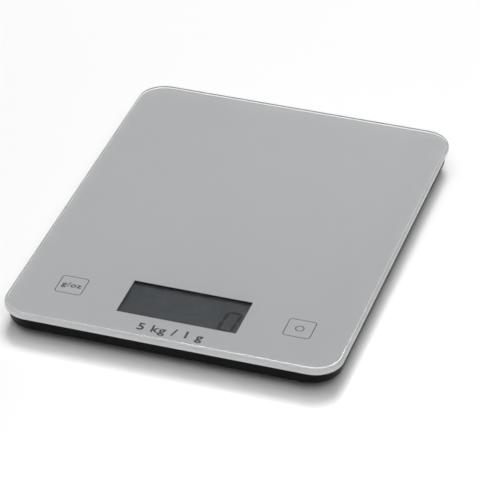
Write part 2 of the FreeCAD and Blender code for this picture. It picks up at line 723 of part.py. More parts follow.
def load_cell(sx, sy):
    """Stamped steel E: a rim on the seat and a tongue that the foot pushes up."""
    x, y = foot_centre(sx, sy)
    plate = slab(x, y, CELL_W, CELL_D, CELL_CORNER_R, Z_SEAT, Z_CELL_TOP)
    slots = []
    slot_x = TONGUE_W / 2 + TONGUE_SLOT / 2
    y_tip = y + sy * (CELL_D / 2 - CELL_FRAME_W - TONGUE_SLOT / 2)
    y_root = y - sy * (CELL_D / 2 - CELL_FRAME_W - TONGUE_SLOT)
    for side in (-1, 1):
        slots.append(block(x + side * slot_x - TONGUE_SLOT / 2, x + side * slot_x + TONGUE_SLOT / 2,
                           min(y_tip, y_root), max(y_tip, y_root), Z_SEAT, Z_CELL_TOP))
        slots.append(disc(x + side * slot_x, y_root, TONGUE_SLOT, Z_SEAT, Z_CELL_TOP))
    slots.append(centred_block(x, y_tip, TONGUE_W + 2 * TONGUE_SLOT, TONGUE_SLOT, Z_SEAT, Z_CELL_TOP))
    return plate.cut(slots)


def gauge_y(sy, y):
    return y - sy * (CELL_D / 2 - GAUGE_D / 2 - GAUGE_SETBACK)


def gauge_cover(sx, sy):
    """Silicone over the strain gauge on the tongue's root, where the lead comes out."""
    x, y = foot_centre(sx, sy)
    cover = slab(x, gauge_y(sy, y), GAUGE_W, GAUGE_D, GAUGE_CORNER_R, Z_CELL_TOP, Z_CELL_TOP + GAUGE_T)
    return cover.makeFillet(GAUGE_EDGE_R, edges_at(cover, Z_CELL_TOP + GAUGE_T))


def cell_retainer(sx, sy):
    """C-shaped clamp over the cell's rim, open where the lead comes out."""
    x, y = foot_centre(sx, sy)
    z1 = Z_CELL_TOP + RETAINER_T
    rim = slab(x, y, CELL_W, CELL_D, CELL_CORNER_R, Z_CELL_TOP, z1)
    ears = []
    holes = []
    for bx, by in boss_places(sx, sy):
        ears.append(disc(bx, by, SCREW_BOSS_D, Z_CELL_TOP, z1))
        bridge_w = SCREW_BOSS_D + abs(bx - x)
        bridge_d = SCREW_BOSS_D + abs(by - y)
        bridge = centred_block((x + bx) / 2, (y + by) / 2, bridge_w, bridge_d, Z_CELL_TOP, z1)
        ears.append(bridge.cut(centred_block(bx, by, 2 * SCREW_BOSS_D, 2 * SCREW_BOSS_D, Z_CELL_TOP, z1)))
        holes.append(disc(bx, by, SCREW_D + RETAINER_HOLE_CLEAR, Z_CELL_TOP, z1))
    inner = slab(x, y, CELL_W - 2 * CELL_FRAME_W, CELL_D - 2 * CELL_FRAME_W, RETAINER_CORNER_R,
                 Z_CELL_TOP, z1)
    mouth_w = GAUGE_W + 2 * MOUTH_CLEAR
    mouth = centred_block(x, y - sy * CELL_D / 2, mouth_w, 3 * CELL_FRAME_W, Z_CELL_TOP, z1)
    return rim.fuse(ears).cut([inner, mouth] + holes).removeSplitter()


def retainer_screws():
    screws = []
    for _, sx, sy in FEET:
        for bx, by in boss_places(sx, sy):
            screws.append(screw(bx, by, Z_CELL_TOP + RETAINER_T, SCREW_GRIP - SCREW_END))
    return Part.Compound(screws)


def cell_lead_route(sx, sy, offset):
    """Corner points of one wire of a cell's lead, offset to the side of the lead's middle."""
    x, y = foot_centre(sx, sy)
    start_y = gauge_y(sy, y) - sy * GAUGE_D / 2
    if sy < 0:
        lane_y = SIDE_LEAD_Y + offset * sx
        return [V(x + offset, start_y, Z_WIRE), V(x + offset, lane_y, Z_WIRE),
                V(sx * BOARD_W / 2, lane_y, Z_WIRE)]
    shift = offset * math.tan(math.radians(22.5)) * sx
    lane_x = sx * BACK_LEAD_X + offset
    turn_y = y - CELL_D
    across = FOOT_X - BACK_LEAD_X
    return [V(x + offset, start_y, Z_WIRE), V(x + offset, turn_y - shift, Z_WIRE),
            V(lane_x, turn_y - across - shift, Z_WIRE), V(lane_x, BOARD_Y1, Z_WIRE)]


def cell_lead(sx, sy):
    """Three wires side by side, from the gauge to the board."""
    radius = FRONT_LEAD_R if sy < 0 else BACK_LEAD_R
    wires = []
    for i in (-1, 0, 1):
        wires.append(wire_along(cell_lead_route(sx, sy, i * WIRE_PITCH), radius))
    return Part.Compound(wires)


def foot_plunger(sx, sy):
    """Moulded plunger put in from inside: its flange stays above the tray's floor."""
    x, y = foot_centre(sx, sy)
    z_flange = Z_FLOOR + PLUNGER_FLANGE_T
    stem = disc(x, y, PLUNGER_D, PAD_H - PAD_GRIP, Z_FLOOR)
    flange = disc(x, y, PLUNGER_FLANGE_D, Z_FLOOR, z_flange)
    nose = disc(x, y, PLUNGER_NOSE_D, z_flange, Z_SEAT)
    return stem.fuse([flange, nose]).removeSplitter()


def foot_pad(sx, sy):
    """Rubber pad glued round the plunger's end, with a grip groove in its sole."""
    x, y = foot_centre(sx, sy)
    pad = disc(x, y, PAD_D, 0, PAD_H)
    pad = pad.makeFillet(PAD_EDGE_R, edges_at(pad, 0.0) + edges_at(pad, PAD_H))
    groove = disc(x, y, GROOVE_D, 0, GROOVE_SINK).cut(disc(x, y, GROOVE_D - 2 * GROOVE_W, 0, GROOVE_SINK))
    return pad.cut([disc(x, y, PLUNGER_D, PAD_H - PAD_GRIP, PAD_H), groove])


# ---------------------------------------------------------------- battery

def coin_cell():
    cell = disc(0, COIN_Y, COIN_D, Z_COIN, Z_COIN_TOP)
    cell = cell.makeFillet(COIN_EDGE_R, edges_at(cell, Z_COIN) + edges_at(cell, Z_COIN_TOP))
    return cell


def contact_tail(x):
    """The upright end of a contact, through the bay roof to its soldered lead."""
    return centred_block(x, CONTACT_TAIL_Y, CONTACT_W, CONTACT_T, Z_BAY_ROOF - CONTACT_T,
                         Z_BAY_ROOF + WALL_T + CONTACT_STAND)


def contact_top():
    """Sprung strip over the coin: its arm dips to the negative face."""
    x = CONTACT_XS[0]
    arm = block(x - CONTACT_W / 2, x + CONTACT_W / 2, CONTACT_TAIL_Y, CONTACT_TAIL_Y + CONTACT_REACH,
                Z_BAY_ROOF - CONTACT_T, Z_BAY_ROOF)
    tip_y = CONTACT_TAIL_Y + CONTACT_REACH - CONTACT_TIP / 2
    tip = centred_block(x, tip_y, CONTACT_W, CONTACT_TIP, Z_COIN_TOP, Z_BAY_ROOF)
    return contact_tail(x).fuse([arm, tip]).removeSplitter()


def contact_side():
    """Strip that stands against the coin's positive rim."""
    x = CONTACT_XS[1]
    rim_y = COIN_Y - COIN_D / 2
    arm = block(x - CONTACT_W / 2, x + CONTACT_W / 2, rim_y, CONTACT_TAIL_Y,
                Z_BAY_ROOF - CONTACT_T, Z_BAY_ROOF)
    leg = block(x - CONTACT_W / 2, x + CONTACT_W / 2, rim_y - CONTACT_T, rim_y,
                Z_COIN + CONTACT_T, Z_BAY_ROOF)
    return contact_tail(x).fuse([arm, leg]).removeSplitter()


def battery_lead(x):
    """One wire from a contact's tail over the bay's edge and down to the board."""
    z_high = Z_BAY_ROOF + WALL_T + WIRE_D / 2
    z_low = Z_BOARD_TOP + WIRE_D / 2
    start = CONTACT_TAIL_Y - CONTACT_T / 2
    bay_front = COVER_Y0 - COVER_GAP - WALL_T
    points = [V(x, start, z_high), V(x, bay_front - BATTERY_LEAD_PAST, z_high),
              V(x, BOARD_Y1 + BATTERY_LEAD_DROP, z_low), V(x, BOARD_Y1 - BATTERY_LEAD_ON_BOARD, z_low)]
    return wire_along(points, BATTERY_LEAD_R)


def battery_cover():
    """Flush cover with a hinge barrel at one end and a springy latch tab at the other."""
    plate = slab(0, BAY_Y, COVER_W, COVER_L, COVER_CORNER_R, Z_BELLY, Z_COVER_TOP)
    plate = plate.cut(block(-COVER_W, COVER_W, HINGE_Y, COVER_Y1 + 1, Z_BELLY, Z_COVER_TOP))
    barrel = Part.makeCylinder(HINGE_R, COVER_W, V(-COVER_W / 2, HINGE_Y, HINGE_Z), V(1, 0, 0))
    pins = Part.makeCylinder(HINGE_PIN_D / 2, COVER_W + 2 * HINGE_PIN_L,
                             V(-COVER_W / 2 - HINGE_PIN_L, HINGE_Y, HINGE_Z), V(1, 0, 0))
    tab = block(-LATCH_W / 2, LATCH_W / 2, COVER_Y0 + LATCH_SETBACK, COVER_Y0 + LATCH_SETBACK + LATCH_T,
                Z_COVER_TOP, Z_COVER_TOP + LATCH_H)
    bead_at = V(-LATCH_W / 2, COVER_Y0 + LATCH_SETBACK + LATCH_T / 4, Z_COVER_TOP + LATCH_H - LATCH_BEAD_R)
    bead = Part.makeCylinder(LATCH_BEAD_R, LATCH_W, bead_at, V(1, 0, 0))
    grips = []
    for i in range(GRIP_ROWS):
        y = COVER_Y0 + GRIP_FROM_END + GRIP_PITCH * i
        grips.append(centred_block(0, y, GRIP_W, GRIP_D, Z_BELLY, Z_BELLY + GRIP_SINK))
    return plate.fuse([barrel, pins, tab, bead]).cut(grips)


# ---------------------------------------------------------------- small trim

def glass_pads():
    pads = []
    for y in CROSS_RIBS_Y:
        for side in (-1, 1):
            pads.append(disc(side * RIB_OFFSET_X, y, POST_PAD_D, Z_RIM, Z_PRINT))
    return Part.Compound(pads)


def rating_label():
    z1 = Z_BELLY + LABEL_SINK
    return slab(0, LABEL_Y, LABEL_W, LABEL_D, LABEL_CORNER_R, z1 - LABEL_T, z1)


save("glass_platform", glass_platform())
save("silver_print", silver_print())
save("smoked_window", window_cut(Z_PRINT, Z_GLASS))
save("key_outlines", printed_marks())
save("adhesive_tape", adhesive_tape())
save("glass_pads", glass_pads())
save("base_tray", base_tray())
save("circuit_board", circuit_board())
save("board_screws", board_screws())
save("processor_drop", processor_drop())
save("amplifier_chip", amplifier_chip())
save("board_parts", board_parts())
save("lead_connectors", lead_connectors())
save("lcd_cell", lcd_cell())
save("lcd_frame", lcd_frame())
save("contact_strip", contact_strip())
for key_name, key_side in KEYS:
    save("touch_film_" + key_name, touch_film(key_side))
    save("touch_spring_" + key_name, touch_spring(key_side))
for foot_name, foot_sx, foot_sy in FEET:
    save("load_cell_" + foot_name, load_cell(foot_sx, foot_sy))
    save("gauge_cover_" + foot_name, gauge_cover(foot_sx, foot_sy))
    save("cell_retainer_" + foot_name, cell_retainer(foot_sx, foot_sy))
    save("cell_lead_" + foot_name, cell_lead(foot_sx, foot_sy))
    save("foot_plunger_" + foot_name, foot_plunger(foot_sx, foot_sy))
    save("foot_pad_" + foot_name, foot_pad(foot_sx, foot_sy))
save("retainer_screws", retainer_screws())
save("coin_cell", coin_cell())
save("contact_top", contact_top())
save("contact_side", contact_side())
save("battery_lead_black", battery_lead(CONTACT_XS[0]))
save("battery_lead_red", battery_lead(CONTACT_XS[1]))
save("battery_cover", battery_cover())
save("rating_label", rating_label())
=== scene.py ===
"""Slim electronic kitchen scale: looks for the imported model, in metres.

The sections follow the scale as it is put together: the studio it stands in, the
moulded tray, what is screwed and clipped into it, and last the printed glass on top.
"""

import math

import bmesh
import bpy
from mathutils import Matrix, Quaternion, Vector


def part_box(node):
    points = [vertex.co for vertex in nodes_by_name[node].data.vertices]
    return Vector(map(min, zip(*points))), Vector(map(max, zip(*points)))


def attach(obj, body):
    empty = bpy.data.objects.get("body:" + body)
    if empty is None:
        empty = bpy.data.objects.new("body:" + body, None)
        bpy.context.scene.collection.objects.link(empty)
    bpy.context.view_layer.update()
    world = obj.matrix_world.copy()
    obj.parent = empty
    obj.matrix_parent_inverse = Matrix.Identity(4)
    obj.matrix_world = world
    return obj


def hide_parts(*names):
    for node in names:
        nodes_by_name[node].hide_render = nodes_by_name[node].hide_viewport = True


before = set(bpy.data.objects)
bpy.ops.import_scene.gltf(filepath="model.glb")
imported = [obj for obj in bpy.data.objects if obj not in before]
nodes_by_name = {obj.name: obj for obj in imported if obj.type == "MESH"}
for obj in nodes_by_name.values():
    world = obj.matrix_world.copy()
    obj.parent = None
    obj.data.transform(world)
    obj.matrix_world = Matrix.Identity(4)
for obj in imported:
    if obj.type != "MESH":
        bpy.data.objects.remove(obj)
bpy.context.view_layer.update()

CORNERS = ("front_left", "front_right", "back_left", "back_right")

# ---------------------------------------------------------------- studio
# A white floor under one large softbox high behind the scale, a weaker one in front on
# the right, and a pale ceiling over a dim room. The camera is a long lens set well back.
CAMERA_AT = Vector((0.41562, -1.29982, 0.92196))
CAMERA_LOOKS_AT = Vector((0.00785, -0.01603, 0.013))
CAMERA_ROLL = math.radians(0.348)
LENS_MM = 231.37
SENSOR_MM = 36.0
NEAREST = 0.05
FARTHEST = 30.0

camera_data = bpy.data.cameras.new("studio_camera")
camera_data.lens = LENS_MM
camera_data.sensor_width = SENSOR_MM
camera_data.clip_start = NEAREST
camera_data.clip_end = FARTHEST
camera = bpy.data.objects.new("studio_camera", camera_data)
bpy.context.collection.objects.link(camera)
camera.location = CAMERA_AT
camera.rotation_mode = "QUATERNION"
aim = (CAMERA_LOOKS_AT - CAMERA_AT).to_track_quat("-Z", "Y")
camera.rotation_quaternion = aim @ Quaternion((0.0, 0.0, 1.0), CAMERA_ROLL)
bpy.context.scene.camera = camera
bpy.context.scene.view_settings.view_transform = "Standard"

ROOM_DIM = 0.06
CEILING_LIGHT = 1.02
CEILING_FROM = 0.6  # sine of the elevation where the lit ceiling begins
CEILING_FULL = 0.85
room = bpy.data.worlds.new("pale_room")
room.use_nodes = True
room_nodes = room.node_tree.nodes
room_links = room.node_tree.links
looking = room_nodes.new("ShaderNodeTexCoord")
apart = room_nodes.new("ShaderNodeSeparateXYZ")
ceiling = room_nodes.new("ShaderNodeMapRange")
ceiling.interpolation_type = "SMOOTHSTEP"
ceiling.inputs["From Min"].default_value = CEILING_FROM
ceiling.inputs["From Max"].default_value = CEILING_FULL
ceiling.inputs["To Min"].default_value = ROOM_DIM
ceiling.inputs["To Max"].default_value = CEILING_LIGHT
room_links.new(looking.outputs["Generated"], apart.inputs["Vector"])
room_links.new(apart.outputs["Z"], ceiling.inputs["Value"])
room_links.new(ceiling.outputs["Result"], room_nodes["Background"].inputs["Strength"])
room_nodes["Background"].inputs["Color"].default_value = (1.0, 1.0, 1.0, 1.0)
bpy.context.scene.world = room

SOFTBOXES = (
    # name, azimuth to the left of +Y, elevation, distance, side, watts
    ("key_softbox", 9.0, 51.0, 3.5, 1.6, 77.0),
    ("fill_softbox", 205.0, 40.0, 3.5, 2.2, 20.0),
)
for name, azimuth, elevation, distance, side, watts in SOFTBOXES:
    lamp = bpy.data.lights.new(name, "AREA")
    lamp.shape = "DISK"
    lamp.size = side
    lamp.energy = watts
    softbox = bpy.data.objects.new(name, lamp)
    bpy.context.collection.objects.link(softbox)
    turn = math.radians(azimuth)
    lift = math.radians(elevation)
    direction = Vector((-math.sin(turn) * math.cos(lift),
                        math.cos(turn) * math.cos(lift),
                        math.sin(lift)))
    softbox.location = direction * distance
    softbox.rotation_mode = "QUATERNION"
    softbox.rotation_quaternion = (-direction).to_track_quat("-Z", "Y")

FLOOR_REACH = 6.0
FLOOR_WHITE = (0.92, 0.92, 0.92, 1.0)
FLOOR_SATIN = 0.22
FLOOR_SHINE = 0.4
floor_mesh = bpy.data.meshes.new("studio_floor")
floor_mesh.from_pydata(
    [(-FLOOR_REACH, -FLOOR_REACH, 0.0), (FLOOR_REACH, -FLOOR_REACH, 0.0),
     (FLOOR_REACH, FLOOR_REACH, 0.0), (-FLOOR_REACH, FLOOR_REACH, 0.0)],
    [], [(0, 1, 2, 3)])
floor = bpy.data.objects.new("studio_floor", floor_mesh)
bpy.context.collection.objects.link(floor)
floor_paint = bpy.data.materials.new("studio_white")
floor_paint.use_nodes = True
floor_shader = floor_paint.node_tree.nodes["Principled BSDF"]
floor_shader.inputs["Base Color"].default_value = FLOOR_WHITE
floor_shader.inputs["Roughness"].default_value = FLOOR_SATIN
floor_shader.inputs["Specular IOR Level"].default_value = FLOOR_SHINE
floor_mesh.materials.append(floor_paint)

# ---------------------------------------------------------------- tray
# The tray is one injection moulding in satin black ABS. Its tool was spark eroded, which
# leaves a fine even grain, and the side band picks up a slightly glossier rub.
NOISE_LOW = 0.3  # the part of a noise's range that a colour or a number is spread over
NOISE_HIGH = 0.7
CLOUDING = 160.0  # slow patches in a moulding, in cells per metre
CLOUD_DETAIL = 5.0
GRAIN_DETAIL = 2.0
GRAIN_STRENGTH = 0.5


def dress(finish, *names):
    """Gives CAD nodes their finish, in every material slot that they have."""
    for name in names:
        for place in nodes_by_name[name].material_slots:
            place.material = finish


def new_finish(name):
    """A new node material: the material, its nodes, its links and its shader."""
    finish = bpy.data.materials.new(name)
    finish.use_nodes = True
    tree = finish.node_tree
    return finish, tree.nodes, tree.links, tree.nodes["Principled BSDF"]


def noise_on(nodes, links, scale, detail=3.0, stretch=(1.0, 1.0, 1.0)):
    """Noise fixed to the piece itself, with a scale in cells per metre."""
    coordinates = nodes.new("ShaderNodeTexCoord")
    mapping = nodes.new("ShaderNodeMapping")
    mapping.inputs["Scale"].default_value = stretch
    noise = nodes.new("ShaderNodeTexNoise")
    noise.inputs["Scale"].default_value = scale
    noise.inputs["Detail"].default_value = detail
    links.new(coordinates.outputs["Object"], mapping.inputs["Vector"])
    links.new(mapping.outputs["Vector"], noise.inputs["Vector"])
    return noise.outputs["Fac"]


def blend_colours(nodes, links, factor, dark, light, socket, low=NOISE_LOW, high=NOISE_HIGH):
    """Runs the socket's colour from dark to light as factor goes from low to high."""
    ramp = nodes.new("ShaderNodeValToRGB")
    ramp.color_ramp.elements[0].position = low
    ramp.color_ramp.elements[1].position = high
    ramp.color_ramp.elements[0].color = (*dark, 1.0)
    ramp.color_ramp.elements[1].color = (*light, 1.0)
    links.new(factor, ramp.inputs["Fac"])
    links.new(ramp.outputs["Color"], socket)


def vary(nodes, links, factor, low, high, socket):
    """Runs a number's socket from low to high with factor."""
    spread = nodes.new("ShaderNodeMapRange")
    spread.inputs["From Min"].default_value = NOISE_LOW
    spread.inputs["From Max"].default_value = NOISE_HIGH
    spread.inputs["To Min"].default_value = low
    spread.inputs["To Max"].default_value = high
    links.new(factor, spread.inputs["Value"])
    links.new(spread.outputs["Result"], socket)


def emboss(nodes, links, height, depth, strength, shader):
    """Raises the surface by height times depth, in metres."""
    bump = nodes.new("ShaderNodeBump")
    bump.inputs["Distance"].default_value = depth
    bump.inputs["Strength"].default_value = strength
    links.new(height, bump.inputs["Height"])
    links.new(bump.outputs["Normal"], shader.inputs["Normal"])


def moulded(name, dark, light, grain, satin, depth=0.00003, shine=0.3):
    """Moulded plastic or rubber. Grain is its texture in cells per metre, and satin its
    lowest and highest roughness."""
    finish, nodes, links, shader = new_finish(name)
    cloudy = noise_on(nodes, links, CLOUDING, CLOUD_DETAIL)
    spark = noise_on(nodes, links, grain, GRAIN_DETAIL)
    blend_colours(nodes, links, cloudy, dark, light, shader.inputs["Base Color"])
    vary(nodes, links, cloudy, satin[0], satin[1], shader.inputs["Roughness"])
    emboss(nodes, links, spark, depth, GRAIN_STRENGTH, shader)
    shader.inputs["Specular IOR Level"].default_value = shine
    return finish


tray_black = moulded("tray_satin_black", (0.0025, 0.0025, 0.0027), (0.0038, 0.0038, 0.004),
                     2600.0, (0.36, 0.48), 0.00003, 0.1)
dress(tray_black, "base_tray")

# ---------------------------------------------------------------- circuit board
# Glass-fibre board in green solder resist, with buried copper tracks that show as paler
# lines. It sits on eight moulded bosses and is held by pan-head screws.
TRACK_PITCH = 420.0
POUR_PATCHES = 130.0
RESIST_DARK = (0.006, 0.06, 0.022)
RESIST_LIGHT = (0.02, 0.17, 0.06)
TRACK_EDGE = (0.38, 0.46)
TRACK_RISE = 0.00004
TRACK_STRENGTH = 0.4
RESIST_SATIN = 0.28


def solder_resist(name):
    """Green resist over straight copper tracks."""
    finish, nodes, links, shader = new_finish(name)
    coordinates = nodes.new("ShaderNodeTexCoord")
    tracks = nodes.new("ShaderNodeTexWave")
    tracks.bands_direction = "X"
    tracks.inputs["Scale"].default_value = TRACK_PITCH
    tracks.inputs["Distortion"].default_value = 0.0
    links.new(coordinates.outputs["Object"], tracks.inputs["Vector"])
    pour = noise_on(nodes, links, POUR_PATCHES, 0.0)
    routed = nodes.new("ShaderNodeMath")
    routed.operation = "MULTIPLY"
    links.new(tracks.outputs["Fac"], routed.inputs[0])
    links.new(pour, routed.inputs[1])
    blend_colours(nodes, links, routed.outputs[0], RESIST_DARK, RESIST_LIGHT,
                  shader.inputs["Base Color"], *TRACK_EDGE)
    emboss(nodes, links, routed.outputs[0], TRACK_RISE, TRACK_STRENGTH, shader)
    shader.inputs["Roughness"].default_value = RESIST_SATIN
    return finish


dress(solder_resist("board_resist"), "circuit_board")

DRAWN_DETAIL = 4.0
DRAWN_DEPTH = 0.00001
DRAWN_STRENGTH = 0.25
HANDLED_PATCHES = 120.0


def worked_metal(name, dark, light, brush, satin, stretch=(1.0, 12.0, 1.0)):
    """Bare or plated metal with fine drawn lines along X, brush cells per metre across them."""
    finish, nodes, links, shader = new_finish(name)
    lines = noise_on(nodes, links, brush, DRAWN_DETAIL, stretch)
    handled = noise_on(nodes, links, HANDLED_PATCHES)
    blend_colours(nodes, links, lines, dark, light, shader.inputs["Base Color"])
    vary(nodes, links, handled, satin[0], satin[1], shader.inputs["Roughness"])
    emboss(nodes, links, lines, DRAWN_DEPTH, DRAWN_STRENGTH, shader)
    shader.inputs["Metallic"].default_value = 1.0
    return finish


screw_zinc = worked_metal("screw_zinc", (0.42, 0.43, 0.45), (0.66, 0.67, 0.69), 900.0,
                          (0.22, 0.4), (1.0, 1.0, 1.0))
dress(screw_zinc, "board_screws", "retainer_screws")

# ---------------------------------------------------------------- parts on the board
# The processor is bonded bare and sealed under a drop of black resin. The amplifier is a
# moulded chip, the capacitors are sintered, and the leads plug into nylon connectors.
dress(moulded("resin_drop", (0.008, 0.008, 0.009), (0.016, 0.016, 0.017), 300.0,
              (0.12, 0.2), 0.00002, 0.6), "processor_drop")
dress(moulded("chip_moulding", (0.018, 0.018, 0.02), (0.032, 0.032, 0.034), 3000.0,
              (0.5, 0.62)), "amplifier_chip")
dress(moulded("capacitor_ceramic", (0.36, 0.24, 0.14), (0.56, 0.42, 0.27), 2400.0,
              (0.35, 0.5)), "board_parts")
dress(moulded("connector_nylon", (0.72, 0.7, 0.64), (0.84, 0.82, 0.77), 1500.0,
              (0.4, 0.55)), "lead_connectors")

# ---------------------------------------------------------------- weighing feet
# Each load cell is a stamped, plated steel plate whose tongue carries the strain gauge
# under a bead of silicone. A white clip holds it, and its leads run to the board.
cell_plate = worked_metal("cell_plate", (0.4, 0.41, 0.42), (0.62, 0.63, 0.64), 1400.0, (0.28, 0.45))
gauge_bead = moulded("gauge_silicone", (0.76, 0.76, 0.73), (0.88, 0.88, 0.86), 700.0, (0.3, 0.45))
clip_white = moulded("clip_white", (0.6, 0.6, 0.59), (0.72, 0.72, 0.71), 2600.0, (0.42, 0.55))
lead_white = moulded("lead_white", (0.72, 0.72, 0.7), (0.84, 0.84, 0.82), 1800.0, (0.38, 0.5))
plunger_black = moulded("plunger_acetal", (0.018, 0.018, 0.02), (0.03, 0.03, 0.032), 2200.0,
                        (0.36, 0.48))
for corner in CORNERS:
    dress(cell_plate, "load_cell_" + corner)
    dress(gauge_bead, "gauge_cover_" + corner)
    dress(clip_white, "cell_retainer_" + corner)
    dress(lead_white, "cell_lead_" + corner)
    dress(plunger_black, "foot_plunger_" + corner)

# Soles: moulded rubber pads with a matt, slightly dusty bloom and a grip ring.
sole_rubber = moulded("sole_rubber", (0.014, 0.014, 0.015), (0.034, 0.034, 0.035), 1900.0,
                      (0.68, 0.86), 0.00006, 0.2)
dress(sole_rubber, *("foot_pad_" + corner for corner in CORNERS))

# ---------------------------------------------------------------- battery
# A coin cell in a brushed stainless can, two plated spring contacts, a red and a black
# lead, and a cover that hinges out of the belly.
dress(worked_metal("coin_can", (0.5, 0.5, 0.5), (0.74, 0.74, 0.74), 2200.0, (0.2, 0.34)),
      "coin_cell")
contact_plate = worked_metal("contact_plating", (0.52, 0.5, 0.46), (0.76, 0.74, 0.68), 1700.0,
                             (0.2, 0.36))
dress(contact_plate, "contact_top", "contact_side")
dress(moulded("lead_red", (0.3, 0.012, 0.012), (0.44, 0.02, 0.02), 1800.0, (0.38, 0.5)),
      "battery_lead_red")
dress(moulded("lead_black", (0.012, 0.012, 0.013), (0.024, 0.024, 0.025), 1800.0, (0.38, 0.5)),
      "battery_lead_black")
dress(moulded("cover_satin_black", (0.004, 0.004, 0.0043), (0.007, 0.007, 0.0075), 2600.0,
              (0.38, 0.5), 0.00003, 0.16), "battery_cover")

# ---------------------------------------------------------------- label
# A blank silver-grey polyester label in a shallow recess of the belly, lightly rubbed.
# It carries a plain ruled form with nothing written in it.
dress(moulded("label_polyester", (0.38, 0.38, 0.39), (0.43, 0.43, 0.44), 900.0,
              (0.28, 0.42), 0.00001, 0.45), "rating_label")
label_low, label_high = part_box("rating_label")
MERGE = 0.000002
RULE_W = 0.0003
RULE_INSET = 0.002
RULE_T = 0.00001
RULE_ROWS = 4
RULE_COLUMN = 0.4  # of the way across


def as_piece(name, mesh, finish):
    """Puts a finished mesh in the scene as a piece that rides with the scale."""
    mesh.materials.clear()
    mesh.materials.append(finish)
    piece = bpy.data.objects.new(name, mesh)
    bpy.context.collection.objects.link(piece)
    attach(piece, "scale")
    return piece


def printed(name, outlines, low, high, finish):
    """A closed layer between two heights. An outline inside another one is a hole in it."""
    drawing = bpy.data.curves.new(name, "CURVE")
    drawing.dimensions = "2D"
    drawing.fill_mode = "BOTH"
    drawing.extrude = (high - low) / 2.0
    for outline in outlines:
        stroke = drawing.splines.new("POLY")
        stroke.points.add(len(outline) - 1)
        for point, (x, y) in zip(stroke.points, outline):
            point.co = (x, y, 0.0, 1.0)
        stroke.use_cyclic_u = True
    return settle(name, drawing, (low + high) / 2.0, finish)


def settle(name, drawing, height, finish):
    """Turns a drawn curve or text into a closed mesh at a height."""
    holder = bpy.data.objects.new(name + "_drawing", drawing)
    bpy.context.collection.objects.link(holder)
    bpy.context.view_layer.update()
    evaluated = holder.evaluated_get(bpy.context.evaluated_depsgraph_get())
    mesh = bpy.data.meshes.new_from_object(evaluated)
    bpy.data.objects.remove(holder)
    bpy.data.curves.remove(drawing)
    mesh.name = name
    body = bmesh.new()
    body.from_mesh(mesh)
    bmesh.ops.remove_doubles(body, verts=body.verts, dist=MERGE)
    bmesh.ops.translate(body, verts=body.verts, vec=(0.0, 0.0, height))
    bmesh.ops.recalc_face_normals(body, faces=body.faces)
    body.to_mesh(mesh)
    body.free()
    return as_piece(name, mesh, finish)


def rectangle(x0, y0, x1, y1):
    """The corners of an upright rectangle."""
    return [(x0, y0), (x1, y0), (x1, y1), (x0, y1)]


form_x = (label_low.x + RULE_INSET, label_high.x - RULE_INSET)
form_y = (label_low.y + RULE_INSET, label_high.y - RULE_INSET)
cell_h = (form_y[1] - form_y[0] - RULE_W) / RULE_ROWS
column = form_x[0] + (form_x[1] - form_x[0]) * RULE_COLUMN
form = [rectangle(form_x[0], form_y[0], form_x[1], form_y[1])]
for row in range(RULE_ROWS):
    y0 = form_y[0] + RULE_W + cell_h * row
    y1 = y0 + cell_h - RULE_W
    form.append(rectangle(form_x[0] + RULE_W, y0, column, y1))
    form.append(rectangle(column + RULE_W, y0, form_x[1] - RULE_W, y1))
label_ink = moulded("label_ink", (0.02, 0.02, 0.021), (0.03, 0.03, 0.031), 2600.0,
                    (0.4, 0.5), 0.00001)
printed("label_form", form, label_low.z - RULE_T, label_low.z + RULE_T, label_ink)

# ---------------------------------------------------------------- touch keys
# Copper film stuck to the back of the glass behind each key, joined to the board by a
# small gold-flashed spring.
key_copper = worked_metal("key_copper", (0.62, 0.28, 0.16), (0.84, 0.44, 0.28), 1300.0,
                          (0.25, 0.42))
key_gold = worked_metal("key_gold", (0.72, 0.5, 0.2), (0.9, 0.68, 0.32), 1600.0,
                        (0.18, 0.3), (1.0, 1.0, 1.0))
for side in ("left", "right"):
    dress(key_copper, "touch_film_" + side)
    dress(key_gold, "touch_spring_" + side)

# ---------------------------------------------------------------- display
# A reflective liquid crystal cell in a black frame, on a layered rubber contact strip.
# A grey polariser covers its face, and the driven segments of one digit show faintly.
dress(moulded("frame_black", (0.01, 0.01, 0.011), (0.018, 0.018, 0.019), 2600.0,
              (0.45, 0.58)), "lcd_frame")
dress(moulded("strip_rubber", (0.5, 0.24, 0.28), (0.68, 0.38, 0.42), 2600.0, (0.6, 0.75)),
      "contact_strip")
dress(moulded("cell_glass", (0.1, 0.105, 0.1), (0.13, 0.135, 0.13), 800.0,
              (0.12, 0.2), 0.00001, 0.5), "lcd_cell")

DIGIT_AT = Vector((0.0252, -0.0872))
DIGIT_H = 0.018
DIGIT_W = 0.0088
STROKE = 0.0018
STROKE_GAP = 0.0002
SLANT = math.tan(math.radians(4.5))
POLARISER_T = 0.00012
SEGMENT_T = 0.00002
POLARISER_INSET = 0.0008
DRIVEN = "abcdef"

lcd_low, lcd_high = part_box("lcd_cell")
polariser_finish = moulded("polariser_grey", (0.24, 0.262, 0.29), (0.262, 0.284, 0.312), 2000.0,
                           (0.5, 0.6), 0.00001, 0.03)
printed("lcd_polariser",
        [rectangle(lcd_low.x + POLARISER_INSET, lcd_low.y + POLARISER_INSET,
                   lcd_high.x - POLARISER_INSET, lcd_high.y - POLARISER_INSET)],
        lcd_high.z, lcd_high.z + POLARISER_T, polariser_finish)


